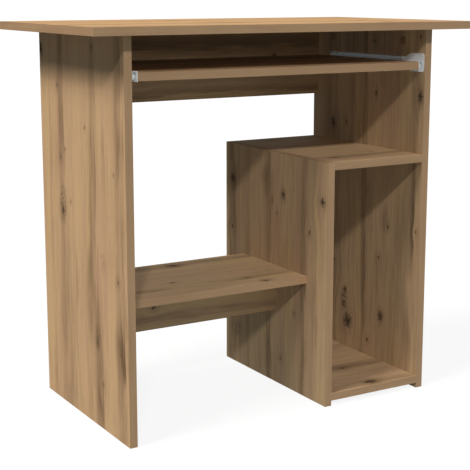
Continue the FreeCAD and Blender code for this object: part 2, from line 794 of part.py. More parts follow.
def channel_screw_points():
    """Screws through the channel's web into the side panel."""
    for inset in CHANNEL_SCREWS:
        yield (channel_web, channel_front + inset, channel_middle)


def member_screw_points():
    """Screws up through the tray member's lower flange into the tray."""
    for inset in MEMBER_SCREWS:
        yield (tray_end - dim.member_flange / 2, tray_front + inset, member_bottom)


def mirrored(point):
    return (-as_size(point[0]), point[1], point[2])


def drill_for_runners():
    """Holes for the runners' screws in the panels and the tray, and in the steel."""
    for point in channel_screw_points():
        countersink("right_side_panel", point, X_AXIS)
        countersink("left_side_panel", mirrored(point), -X_AXIS)
        countersink("cabinet_runner", point, X_AXIS)
    for point in member_screw_points():
        countersink("keyboard_tray", point, Z_AXIS)
        countersink("keyboard_tray", mirrored(point), Z_AXIS)
        countersink("tray_runner", point, Z_AXIS)


def drill_for_axles():
    """Holes in the steel that the axles' tails fill."""
    for name, steel, (depth, height) in (("cabinet_runner", channel_web, front_axis),
                                         ("tray_runner", tray_end, rear_axis)):
        hole = cylinder(name + "_axle_hole", (steel - dim.metal, depth, height), X_AXIS,
                        dim.axle, dim.metal * 3)
        drillings[name].append(hole)


def add_runners():
    """Both runners: channels, tray members, rollers, axles and screws."""
    for name, folded in (("cabinet_runner", cabinet_runner()), ("tray_runner", tray_runner())):
        add_pair(name, cut(name + "_drilled", folded, drillings[name]))
    add_rollers()
    screw = screw_pattern()
    doc.recompute()
    for name, points, heads in (("cabinet_runner_screws", channel_screw_points, -X_AXIS),
                                ("tray_runner_screws", member_screw_points, -Z_AXIS)):
        for side, place, axis in (("right_", lambda point: point, heads),
                                  ("left_", mirrored, Vector(-heads.x, heads.y, heads.z))):
            turn = facing(Y_AXIS, axis)
            places = [Placement(vector_of(place(point)), turn) for point in points()]
            add_group(side + name, screw, places)


# ---- the desk ---------------------------------------------------------------------------

def check_document():
    """Stop if any object failed or any sub-part is not made of sound solids."""
    for obj in doc.Objects:
        if "Invalid" in obj.State or "Error" in obj.State:
            raise RuntimeError(f"{obj.Label} failed: {obj.State}")
    for name, obj in subparts.items():
        shape = obj.Shape
        if shape.isNull() or not shape.isValid() or not shape.Solids:
            raise RuntimeError(f"{name} has no valid solid")


def write_parts():
    os.makedirs("parts", exist_ok=True)
    for name, obj in subparts.items():
        obj.Shape.exportStep(f"parts/{name}.step")


def build_desk():
    blanks = [add_board(*spec) for spec in BOARDS]
    drillings["cabinet_runner"] = []
    drillings["tray_runner"] = []
    for joint in all_joints():
        drill_joint(joint)
    drill_for_runners()
    drill_for_axles()
    for name, blank in blanks:
        finish_drilled(name, blank)
    add_runners()
    add_joint_fasteners()
    doc.recompute()
    check_document()
    write_parts()


build_desk()
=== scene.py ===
import math

import bpy
from mathutils import Euler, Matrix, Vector


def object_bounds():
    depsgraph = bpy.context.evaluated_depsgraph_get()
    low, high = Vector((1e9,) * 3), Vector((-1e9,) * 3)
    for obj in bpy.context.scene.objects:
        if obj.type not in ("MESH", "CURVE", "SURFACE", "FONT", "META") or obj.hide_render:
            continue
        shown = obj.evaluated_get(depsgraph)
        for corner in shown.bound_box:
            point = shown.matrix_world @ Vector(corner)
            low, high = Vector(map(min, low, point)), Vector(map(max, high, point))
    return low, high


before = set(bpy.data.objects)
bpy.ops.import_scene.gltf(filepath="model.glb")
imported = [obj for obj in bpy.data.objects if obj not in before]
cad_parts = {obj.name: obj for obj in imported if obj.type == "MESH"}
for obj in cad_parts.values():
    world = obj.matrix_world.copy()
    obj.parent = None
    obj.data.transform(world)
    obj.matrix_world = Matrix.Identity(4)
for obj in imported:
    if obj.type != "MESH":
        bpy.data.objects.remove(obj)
cad_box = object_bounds()

# Computer desk with a keyboard tray: looks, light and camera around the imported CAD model.
# Metres, in the CAD frame: +X right, -Y front, +Z up, origin on the floor under the desktop.

AXES = {"x": 0, "y": 1, "z": 2}
WHITE = (1.0, 1.0, 1.0)

# Printed oak, in linear colour: the ground, the ground of the inner boards, which sit in
# shade (painted shade colour: greener, to offset the red of the light bounced between them),
# the desktop's ground and the plainer edge strips.
OAK_GROUND = (0.600, 0.378, 0.206)
OAK_SHADED_GROUND = (0.585, 0.388, 0.217)
OAK_TOP_GROUND = (0.625, 0.376, 0.180)
OAK_STRIP = (0.462, 0.284, 0.152)
# What the other marks in the print do to the ground's colour.
GOLDEN = (1.07, 1.10, 1.00)
ROSY = (0.96, 0.91, 0.95)
BAND = (0.545, 0.52, 0.495)
STREAK = (0.31, 0.285, 0.26)
KNOT = (0.17, 0.155, 0.15)
CRACK = (0.07, 0.065, 0.07)
STRIP_BAND = (0.74, 0.71, 0.69)

# The matt foil that carries the print: its specular level, the roughness of boards and of
# strips and what the fibres add to it, the fibres' height as a share of the pores' depth,
# the depth of the relief and the edges' rounding.
FOIL_SPECULAR = 0.3
FIBRE_ROUGHNESS = 0.16
BOARD_ROUGHNESS = 0.50
STRIP_ROUGHNESS = 0.46
FIBRE_HEIGHT = 0.5
BOARD_RELIEF = 0.00006
STRIP_RELIEF = 0.00004
BOARD_ROUNDING = 0.0003
STRIP_ROUNDING = 0.0004
# Edges that turn by more degrees than this are rounded, and points this close are one.
SHARP_ANGLE = 35.0
SAME_POINT = 1e-6
# Steps that give each board and each strip its own part of the noise, and how fast a board's
# noise changes through its thickness.
BOARD_SEED_STEP = 3.1
STRIP_SEED_STEP = 1.7
LAYERS_PER_METRE = 40.0

# Noises in a board's print: cycles per metre along and across the grain, a shift that sets
# them apart, the detail and the roughness.
BOARD_NOISES = {
    "ragged": (190.0, 300.0, 0.0, 3.0, 0.5),
    "curl": (26.0, 48.0, 0.0, 2.0, 0.5),
    "sway": (1.8, 4.0, 0.0, 1.0, 0.5),
    "wobble": (9.0, 14.0, 3.0, 2.0, 0.5),
    "streak": (7.0, 105.0, 0.0, 4.0, 0.6),
    "line": (12.0, 250.0, 17.0, 3.0, 0.5),
    "mottle": (8.0, 34.0, 7.0, 3.0, 0.5),
    "drift": (2.6, 15.0, 11.0, 3.0, 0.5),
    "golden": (1.6, 22.0, 23.0, 3.0, 0.5),
    "rosy": (1.9, 26.0, 31.0, 3.0, 0.5),
    "fibre": (26.0, 620.0, 0.0, 2.0, 0.5),
    "pore": (48.0, 1500.0, 0.0, 1.0, 0.5),
    "speck": (150.0, 260.0, 5.0, 4.0, 0.5),
}
# How far, in metres, noises carry the grain sideways, and the bands' edges beyond that.
GRAIN_REACH = {"curl": 0.030, "sway": 0.022, "wobble": 0.008}
FEATHER_REACH = {"streak": 0.026, "line": 0.016}
# The tone runs from 0 at the ground's colour to 1 at the band's. These noises raise it: the
# levels between which each one rises, and its share. The other marks have only a share, and
# a mottle between the first two levels scales the bands between the next two.
TONE_NOISES = {"drift": (0.32, 0.70, 0.22), "streak": (0.38, 0.64, 0.24),
               "line": (0.34, 0.66, 0.24)}
TONE_START = -0.24
MOTTLED_BAND = (0.25, 0.75, 0.6, 1.6)
FIBRE_SHARE = 0.20
HALO_SHARE = 0.34
BURL_SHARE = 0.45
# Between these tones the band's colour goes on to the streak's.
STREAK_TONES = (0.95, 1.5)
# The levels between which the noises of the ground's hues, pores and specks set in.
GOLDEN_LEVELS = (0.44, 0.66)
ROSY_LEVELS = (0.46, 0.66)
PORE_LEVELS = (0.60, 0.74)
SPECK_LEVELS = (0.50, 0.62)
# How fully pores, burls' specks, knots' cores and their cracks cover the print.
PORE_COVER = 0.30
SPECK_COVER = 0.85
CORE_COVER = 0.9
CRACK_COVER = 0.75

# Knots. Distances are in the knot's own radii, squeezed along the grain. A knot pushes the
# grain aside by a share that fades outwards. The outline and the cracks' spokes wander with
# the ragged noise, and the spokes turn from knot to knot. Core, cracks and halo set in at
# the first distance and are full at the second.
KNOT_SQUEEZE = 0.7
PUSH_SHARE = 0.85
PUSH_FADE = 0.07
OUTLINE_WANDER = 2.4
SPOKE_WANDER = 3.6
SPOKE_TURN = 90.0
SPOKE_SHARPNESS = 5.0
CORE_EDGES = (1.0, 0.4)
CRACK_REACHES = (("COSINE", 2.1), ("SINE", 1.4))
CRACK_ROOT = 0.9
HALO_EDGES = (4.2, 0.8)
RING_PITCH = 6.5
RING_DEPTH = 0.2

# Noises in the strips' print: cycles per metre along and across, a shift that sets the
# fibres apart, the levels between which the others set in, and the shares of the tone.
STRIP_STREAK = (5.0, 170.0)
STRIP_FIBRE = (40.0, 900.0)
STRIP_DRIFT = 7.0
FIBRE_SEED_SHIFT = 4.0
STRIP_STREAK_LEVELS = (0.32, 0.70)
STRIP_DRIFT_LEVELS = (0.35, 0.75)
STRIP_STREAK_SHARE = 0.30
STRIP_DRIFT_SHARE = 0.30
STRIP_FIBRE_SHARE = 0.16

# Finishes of the fittings: the two colours that they vary between, the least and the most
# roughness, whether they are metal, the mottling's cycles per metre and the relief's depth.
FINISHES = {
    "white_powder_coat": {
        "base": (0.94, 0.925, 0.90), "varied": (0.90, 0.885, 0.86), "roughness": (0.34, 0.46),
        "metallic": 0.0, "scale": 900.0, "depth": 0.00003},
    "white_nylon": {
        "base": (0.82, 0.82, 0.79), "varied": (0.74, 0.74, 0.71), "roughness": (0.30, 0.42),
        "metallic": 0.0, "scale": 500.0, "depth": 0.00002},
    "zinc_plate": {
        "base": (0.72, 0.73, 0.75), "varied": (0.58, 0.59, 0.62), "roughness": (0.22, 0.38),
        "metallic": 1.0, "scale": 1400.0, "depth": 0.00001},
    "zinc_casting": {
        "base": (0.50, 0.50, 0.51), "varied": (0.38, 0.38, 0.39), "roughness": (0.38, 0.55),
        "metallic": 1.0, "scale": 1800.0, "depth": 0.00004},
    "beech": {
        "base": (0.62, 0.42, 0.25), "varied": (0.50, 0.33, 0.19), "roughness": (0.6, 0.75),
        "metallic": 0.0, "scale": 700.0, "depth": 0.00005},
    "cap_plastic": {
        "base": (0.33, 0.20, 0.11), "varied": (0.27, 0.16, 0.09), "roughness": (0.42, 0.55),
        "metallic": 0.0, "scale": 1200.0, "depth": 0.00002},
}
# The broad mottling's scale and its share in the colour.
BROAD_SCALE = 0.06
BROAD_SHARE = 0.6
# A noise is mostly between these levels.
NOISE_LOW = 0.3
NOISE_HIGH = 0.7

# Fittings by the end of their nodes' names: the finish, and the rounding of the edges.
FITTINGS = {
    "_runner": ("white_powder_coat", 0.0004),
    "_roller": ("white_nylon", 0.0003),
    "_axle": ("zinc_plate", 0.0001),
    "_screws": ("zinc_plate", None),
    "_cam_bolts": ("zinc_plate", None),
    "_cam_locks": ("zinc_casting", None),
    "_dowels": ("beech", None),
    "cam_cover_caps": ("cap_plastic", 0.0001),
}

# The floor: wide enough for every view, and just under the panels, so that no faces coincide.
# It glows almost white, and its grey shows the shadows.
FLOOR_SIZE = 160.0
FLOOR_DROP = 0.0003
FLOOR_GREY = (0.15, 0.15, 0.15)
FLOOR_GLOW = 0.87

# Light from all round: its colour, its level, the level added from the low front, and where
# that is.
ROOM_COLOUR = (0.86, 1.0, 1.06)
ROOM_LEVEL = 0.075
FRONT_LEVEL = 0.42
FRONT_Y = -0.87
FRONT_Z = -0.49

# The camera: millimetres of lens and sensor, the picture's shift as a share of the frame,
# its place, and how many degrees it looks down and turns right.
LENS = 90.16
SENSOR = 36.0
PICTURE_SHIFT = -0.05
CAMERA_PLACE = (-1.175, -1.981, 0.7955)
CAMERA_DOWN = 10.57
CAMERA_RIGHT = 30.63


def tinted(colour, tint):
    return tuple(part * share for part, share in zip(colour, tint))


# ---- node helpers -----------------------------------------------------------------------

class Shader:
    """Short calls that add nodes to a material's or a group's tree."""

    def __init__(self, tree):
        self.tree = tree

    def node(self, kind, **settings):
        made = self.tree.nodes.new(kind)
        for name, value in settings.items():
            setattr(made, name, value)
        return made

    def feed(self, socket, value):
        """Link a socket to another one, or set its own value."""
        if isinstance(value, bpy.types.NodeSocket):
            self.tree.links.new(value, socket)
        else:
            socket.default_value = value

    def math(self, operation, *values, clamp=False):
        made = self.node("ShaderNodeMath", operation=operation, use_clamp=clamp)
        for socket, value in zip(made.inputs, values):
            self.feed(socket, value)
        return made.outputs[0]

    def add_shares(self, total, *shares):
        """The total plus each level times its share."""
        for level, share in shares:
            total = self.math("MULTIPLY_ADD", level, share, total)
        return total

    def centred(self, noise):
        """A noise that swings about 0."""
        return self.math("SUBTRACT", noise, 0.5)

    def ranged(self, value, low, high, to_low=0.0, to_high=1.0, smooth=True):
        kind = "SMOOTHSTEP" if smooth else "LINEAR"
        made = self.node("ShaderNodeMapRange", interpolation_type=kind)
        for name, given in (("Value", value), ("From Min", low), ("From Max", high),
                            ("To Min", to_low), ("To Max", to_high)):
            self.feed(made.inputs[name], given)
        return made.outputs[0]

    def combine(self, x, y, z):
        made = self.node("ShaderNodeCombineXYZ")
        for socket, value in zip(made.inputs, (x, y, z)):
            self.feed(socket, value)
        return made.outputs[0]

    def noise(self, x, y, z, detail=2.0, rough=0.5):
        """Noise from 0 to 1 at coordinates that are already scaled."""
        made = self.node("ShaderNodeTexNoise", noise_dimensions="3D")
        self.feed(made.inputs["Vector"], self.combine(x, y, z))
        self.feed(made.inputs["Scale"], 1.0)
        self.feed(made.inputs["Detail"], detail)
        self.feed(made.inputs["Roughness"], rough)
        return made.outputs[0]

    def mix(self, factor, first, second):
        made = self.node("ShaderNodeMix", data_type="RGBA")
        self.feed(made.inputs[0], factor)
        for socket, value in ((made.inputs[6], first), (made.inputs[7], second)):
            if not isinstance(value, bpy.types.NodeSocket):
                value = (*value, 1.0)
            self.feed(socket, value)
        return made.outputs[2]


def new_material(name):
    """An empty node material: its Shader and its Principled node."""
    material = bpy.data.materials.new(name)
    material.use_nodes = True
    principled = material.node_tree.nodes["Principled BSDF"]
    return material, Shader(material.node_tree), principled


def object_axes(shader):
    """The X, Y and Z of the point in the desk's frame."""
    place = shader.node("ShaderNodeTexCoord").outputs["Object"]
    split = shader.node("ShaderNodeSeparateXYZ")
    shader.feed(split.inputs[0], place)
    return split.outputs


def add_bump(shader, principled, height, depth):
    bump = shader.node("ShaderNodeBump")
    shader.feed(bump.inputs["Strength"], 1.0)
    shader.feed(bump.inputs["Distance"], depth)
    shader.feed(bump.inputs["Height"], height)
    shader.feed(principled.inputs["Normal"], bump.outputs[0])


# ---- oak print --------------------------------------------------------------------------

def new_group(name, inputs, outputs):
    """An empty node group with float sockets: its Shader, its inputs and its output node."""
    group = bpy.data.node_groups.new(name, "ShaderNodeTree")
    for direction, names in (("INPUT", inputs), ("OUTPUT", outputs)):
        for socket in names:
            group.interface.new_socket(socket, in_out=direction, socket_type="NodeSocketFloat")
    shader = Shader(group)
    return shader, shader.node("NodeGroupInput").outputs, shader.node("NodeGroupOutput")


def blot_group():
    """A soft long blot: 1 in its middle, fading outwards."""
    shader, given, leaving = new_group(
        "oak_blot", ("Along", "Across", "Centre Along", "Centre Across", "Half Length",
                     "Half Width"), ("Level",))
    squares = []
    for axis, half in (("Along", "Half Length"), ("Across", "Half Width")):
        offset = shader.math("SUBTRACT", given[axis], given["Centre " + axis])
        share = shader.math("DIVIDE", offset, given[half])
        squares.append(shader.math("MULTIPLY", share, share))
    total = shader.math("ADD", *squares)
    fall = shader.math("MULTIPLY", total, shader.math("MULTIPLY", total, -1.0))
    shader.feed(leaving.inputs["Level"], shader.math("EXPONENT", fall))
    return shader.tree


def knot_group():
    """One knot: how it pushes the grain aside, its dark core with cracks, its brown halo."""
    shader, given, leaving = new_group(
        "oak_knot", ("Along", "Across", "Ragged", "Centre Along", "Centre Across", "Radius",
                     "Cracked"), ("Push", "Core", "Crack", "Halo"))
    along = shader.math("SUBTRACT", given["Along"], given["Centre Along"])
    across = shader.math("SUBTRACT", given["Across"], given["Centre Across"])
    slim = shader.math("MULTIPLY", along, KNOT_SQUEEZE)
    square = shader.math("ADD", shader.math("MULTIPLY", slim, slim),
                         shader.math("MULTIPLY", across, across))
    distance = shader.math("DIVIDE", shader.math("SQRT", square), given["Radius"])
    fade = shader.math("MULTIPLY", shader.math("MULTIPLY", distance, distance), -PUSH_FADE)
    near = shader.math("EXPONENT", fade)
    push = shader.math("MULTIPLY", shader.math("MULTIPLY", across, near), -PUSH_SHARE)
    ragged = shader.centred(given["Ragged"])
    torn = shader.add_shares(distance, (ragged, OUTLINE_WANDER))
    turn = shader.math("ARCTAN2", across, slim)
    bent = shader.add_shares(turn, (ragged, SPOKE_WANDER), (given["Centre Along"], SPOKE_TURN))
    cracks = []
    for wave, reach in CRACK_REACHES:
        spoke = shader.math("ABSOLUTE", shader.math(wave, bent))
        cracks.append(shader.math("MULTIPLY", shader.math("POWER", spoke, SPOKE_SHARPNESS),
                                  shader.ranged(torn, reach, CRACK_ROOT)))
    crack = shader.math("MULTIPLY", shader.math("MAXIMUM", *cracks), given["Cracked"])
    rings = shader.math("SINE", shader.math("MULTIPLY", torn, RING_PITCH))
    ringed = shader.add_shares(1.0 - RING_DEPTH, (rings, RING_DEPTH))
    halo = shader.math("MULTIPLY", shader.ranged(torn, *HALO_EDGES), ringed)
    core = shader.ranged(torn, *CORE_EDGES)
    for name, value in (("Push", push), ("Core", core), ("Crack", crack), ("Halo", halo)):
        shader.feed(leaving.inputs[name], value)
    return shader.tree


def add_group(shader, group, **values):
    made = shader.node("ShaderNodeGroup", node_tree=group)
    for name, value in values.items():
        shader.feed(made.inputs[name.replace("_", " ")], value)
    return made.outputs


def add_knots(shader, along, across, ragged, board, group):
    """A board's knots: the pushed grain coordinate, and the cores, cracks and halos."""
    pushed = across
    marks = {"Core": 0.0, "Crack": 0.0, "Halo": 0.0}
    for cracked, places in ((0.0, board["knots"]), (1.0, board["cracked"])):
        for centre_along, centre_across, radius in places:
            made = add_group(shader, group, Along=along, Across=across, Ragged=ragged,
                             Centre_Along=centre_along, Centre_Across=centre_across,
                             Radius=radius, Cracked=cracked)
            pushed = shader.math("ADD", pushed, made["Push"])
            for mark in marks:
                marks[mark] = shader.math("MAXIMUM", marks[mark], made[mark])
    return pushed, marks


def add_blots(shader, along, across, blots, group):
    """The summed level of soft blots, 0 where there are none."""
    total = 0.0
    for centre_along, centre_across, half_length, half_width, strength in blots:
        made = add_group(shader, group, Along=along, Across=across,
                         Centre_Along=centre_along, Centre_Across=centre_across,
                         Half_Length=half_length, Half_Width=half_width)
        total = shader.add_shares(total, (made["Level"], strength))
    return total


def bent_grain(shader, noise, across, pushed, burl):
    """The place across the grain, bent by knots, burls and long waves."""
    swings = {kind: shader.centred(noise(kind, across)) for kind in GRAIN_REACH}
    swings["curl"] = shader.math("MULTIPLY", swings["curl"], burl)
    return shader.add_shares(pushed, *((swings[kind], reach)
                                       for kind, reach in GRAIN_REACH.items()))


def streaked_tone(shader, noise, along, grain, streaks, group):
    """How far bands, streaks and lines darken the print: 0 ground, 1 band."""
    noises = {kind: noise(kind, grain) for kind in TONE_NOISES}
    feathered = shader.add_shares(grain, *((shader.centred(noises[kind]), reach)
                                           for kind, reach in FEATHER_REACH.items()))
    band = add_blots(shader, along, feathered, streaks, group)
    tone = shader.math("MULTIPLY", band, shader.ranged(noise("mottle", grain), *MOTTLED_BAND))
    for kind, (low, high, share) in TONE_NOISES.items():
        tone = shader.add_shares(tone, (shader.ranged(noises[kind], low, high), share))
    return tone


def print_colour(shader, noise, grain, base, tone, pore, dark, crack):
    """The print's colour: a varied ground under bands, pores, dark spots and cracks."""
    golden = shader.ranged(noise("golden", grain), *GOLDEN_LEVELS)
    rosy = shader.ranged(noise("rosy", grain), *ROSY_LEVELS)
    colour = base
    for level, tint in ((golden, GOLDEN), (rosy, ROSY),
                        (shader.ranged(tone, 0.0, 1.0, smooth=False), BAND),
                        (shader.ranged(tone, *STREAK_TONES), STREAK),
                        (shader.math("MULTIPLY", pore, PORE_COVER), STREAK), (dark, KNOT),
                        (shader.math("MULTIPLY", crack, CRACK_COVER), CRACK)):
        colour = shader.mix(level, colour, tinted(base, tint))
    return colour


def finish_print(shader, principled, colour, roughness, height, relief):
    """Give a printed foil its colour, gloss and relief."""
    shader.feed(principled.inputs["Base Color"], colour)
    shader.feed(principled.inputs["Roughness"], roughness)
    principled.inputs["Specular IOR Level"].default_value = FOIL_SPECULAR
    add_bump(shader, principled, height, relief)


def oak_print(name, board, groups, seed):
    """Matt foil printed as knotty oak, its grain along one axis of the board."""
    material, shader, principled = new_material(name)
    axes = object_axes(shader)
    along, across, thick = (axes[AXES[axis]] for axis in board["axes"])
    layer = shader.add_shares(seed, (thick, LAYERS_PER_METRE))

    def noise(kind, sideways):
        """One of BOARD_NOISES, across the grain by the sideways coordinate."""
        cycles_along, cycles_across, shift, detail, rough = BOARD_NOISES[kind]
        return shader.noise(shader.add_shares(shift, (along, cycles_along)),
                            shader.math("MULTIPLY", sideways, cycles_across), layer,
                            detail, rough)

    pushed, marks = add_knots(shader, along, across, noise("ragged", across), board,
                              groups["knot"])
    burl = add_blots(shader, along, across, board["burls"], groups["blot"])
    grain = bent_grain(shader, noise, across, pushed, burl)
    fibre = noise("fibre", grain)
    pore = shader.ranged(noise("pore", grain), *PORE_LEVELS)
    speck = shader.ranged(noise("speck", grain), *SPECK_LEVELS)
    tone = streaked_tone(shader, noise, along, grain, board["streaks"], groups["blot"])
    tone = shader.add_shares(tone, (fibre, FIBRE_SHARE), (marks["Halo"], HALO_SHARE),
                             (burl, BURL_SHARE))
    tone = shader.math("ADD", tone, board["tone"] + TONE_START)
    dark = shader.math("MULTIPLY", shader.math("MULTIPLY", speck, burl), SPECK_COVER,
                       clamp=True)
    dark = shader.math("MAXIMUM", dark, shader.math("MULTIPLY", marks["Core"], CORE_COVER))
    colour = print_colour(shader, noise, grain, board.get("ground", OAK_GROUND), tone, pore,
                          dark, marks["Crack"])
    roughness = shader.add_shares(BOARD_ROUGHNESS, (fibre, FIBRE_ROUGHNESS))
    height = shader.math("MULTIPLY", fibre, FIBRE_HEIGHT)
    for hollow in (pore, dark):
        height = shader.math("SUBTRACT", height, hollow)
    finish_print(shader, principled, colour, roughness, height, BOARD_RELIEF)
    return material


def strip_axes(shader, first, second):
    """Along and across the strip that the point is on.

    first is the strips' long axis, second the one of strips whose faces look along first.
    """
    axes = object_axes(shader)
    normal = shader.node("ShaderNodeSeparateXYZ")
    shader.feed(normal.inputs[0], shader.node("ShaderNodeTexCoord").outputs["Normal"])
    end_on = shader.math("ABSOLUTE", normal.outputs[AXES[first]])
    turned = shader.math("GREATER_THAN", end_on, 0.5)
    chosen = shader.node("ShaderNodeMix", data_type="FLOAT")
    for place, value in ((0, turned), (2, axes[AXES[first]]), (3, axes[AXES[second]])):
        shader.feed(chosen.inputs[place], value)
    third = (set(AXES) - {first, second}).pop()
    return chosen.outputs[0], axes[AXES[third]]


def oak_edging(name, first, second, seed):
    """Edge strips in the same print: plainer, with the grain along each strip."""
    material, shader, principled = new_material(name)
    along, across = strip_axes(shader, first, second)

    def noise(cycles, layer, detail):
        return shader.noise(shader.math("MULTIPLY", along, cycles[0]),
                            shader.math("MULTIPLY", across, cycles[1]), layer, detail=detail)

    streak = noise(STRIP_STREAK, seed, 3.0)
    fibre = noise(STRIP_FIBRE, seed + FIBRE_SEED_SHIFT, 2.0)
    drift = shader.noise(shader.math("MULTIPLY", along, STRIP_DRIFT), seed, 0.0)
    tone = shader.math("MULTIPLY", shader.ranged(drift, *STRIP_DRIFT_LEVELS),
                       STRIP_DRIFT_SHARE)
    streaked = shader.ranged(streak, *STRIP_STREAK_LEVELS)
    tone = shader.add_shares(tone, (streaked, STRIP_STREAK_SHARE), (fibre, STRIP_FIBRE_SHARE))
    colour = shader.mix(tone, OAK_STRIP, tinted(OAK_STRIP, STRIP_BAND))
    roughness = shader.add_shares(STRIP_ROUGHNESS, (fibre, FIBRE_ROUGHNESS))
    finish_print(shader, principled, colour, roughness, fibre, STRIP_RELIEF)
    return material


# ---- plain materials --------------------------------------------------------------------

def grained(name, base, varied, roughness, metallic, scale, depth):
    """A finish with fine mottling in its colour, its gloss and its surface."""
    material, shader, principled = new_material(name)
    axes = object_axes(shader)
    fine = shader.noise(*(shader.math("MULTIPLY", axis, scale) for axis in axes), detail=3.0)
    broad = shader.noise(*(shader.math("MULTIPLY", axis, scale * BROAD_SCALE)
                           for axis in axes))
    blend = shader.add_shares(shader.math("MULTIPLY", fine, 1.0 - BROAD_SHARE),
                              (broad, BROAD_SHARE))
    shader.feed(principled.inputs["Base Color"],
                shader.mix(shader.ranged(blend, NOISE_LOW, NOISE_HIGH), base, varied))
    shader.feed(principled.inputs["Roughness"],
                shader.ranged(fine, NOISE_LOW, NOISE_HIGH, *roughness))
    principled.inputs["Metallic"].default_value = metallic
    add_bump(shader, principled, fine, depth)
    return material
